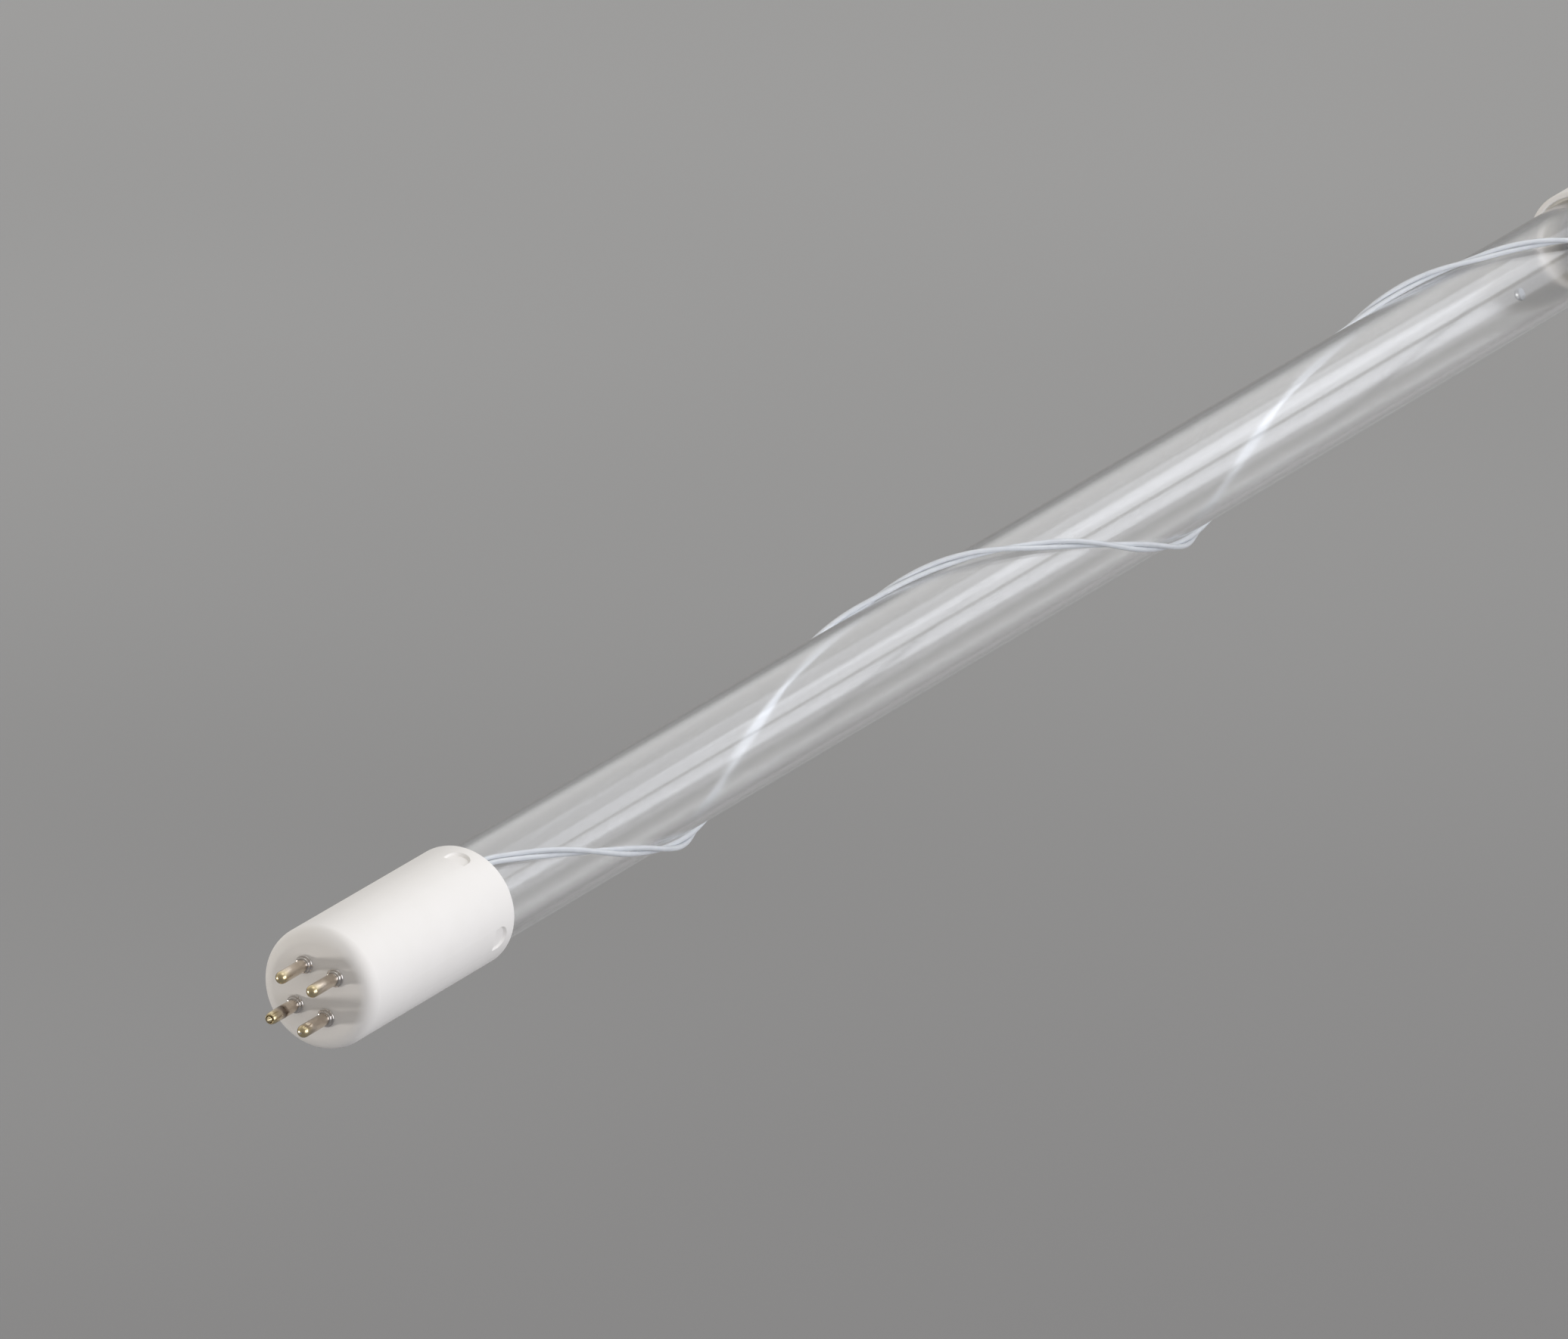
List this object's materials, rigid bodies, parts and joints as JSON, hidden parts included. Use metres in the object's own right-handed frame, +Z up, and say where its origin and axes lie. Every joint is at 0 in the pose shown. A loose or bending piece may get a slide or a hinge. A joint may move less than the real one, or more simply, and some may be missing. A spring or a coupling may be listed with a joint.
{
  "type": "uvc germicidal lamp tube",
  "caption": "Straight clear quartz germicidal lamp with ceramic end caps, contact pins on one cap and a twisted pair of insulated return wires wound round the tube.",
  "frame": {"origin": "centre of the pin cap's flat outer face, in the middle of the contact pins", "axes": "+X along the lamp from the pin cap's face to the far cap, +Z up with the lamp lying on its two caps"},
  "size_m": [0.5641, 0.023, 0.0229],
  "materials": {
    "quartz": "clear fused quartz, fire polished",
    "steatite": "matt white unglazed steatite",
    "nickel_plate": "nickel-plated brass with worn olive-gold tips",
    "wire_insulation": "translucent white fluoropolymer insulation",
    "basing_cement": "dry pale cement",
    "tungsten": "emitter-coated tungsten coil",
    "lead_metal": "drawn molybdenum and nickel wire",
    "foil_metal": "thin molybdenum ribbon",
    "amalgam": "dull silver metal"
  },
  "bodies": {
    "root": {"quartz_tube": "quartz", "pin_cap": "steatite", "end_cap": "steatite", "contact_pin_1": "nickel_plate", "contact_pin_2": "nickel_plate", "contact_pin_3": "nickel_plate", "contact_pin_4": "nickel_plate", "return_wire_1": "wire_insulation", "return_wire_2": "wire_insulation", "near_cement": "basing_cement", "far_cement": "basing_cement", "near_electrode": "tungsten", "far_electrode": "tungsten", "near_inner_lead_1": "lead_metal", "near_inner_lead_2": "lead_metal", "far_inner_lead_1": "lead_metal", "far_inner_lead_2": "lead_metal", "near_foil_1": "foil_metal", "near_foil_2": "foil_metal", "far_foil_1": "foil_metal", "far_foil_2": "foil_metal", "pin_lead_1": "lead_metal", "pin_lead_2": "lead_metal", "far_lead_1": "lead_metal", "far_lead_2": "lead_metal", "crimp_sleeve_1": "nickel_plate", "crimp_sleeve_2": "nickel_plate", "amalgam_pellet": "amalgam"}
  },
  "joints": []
}
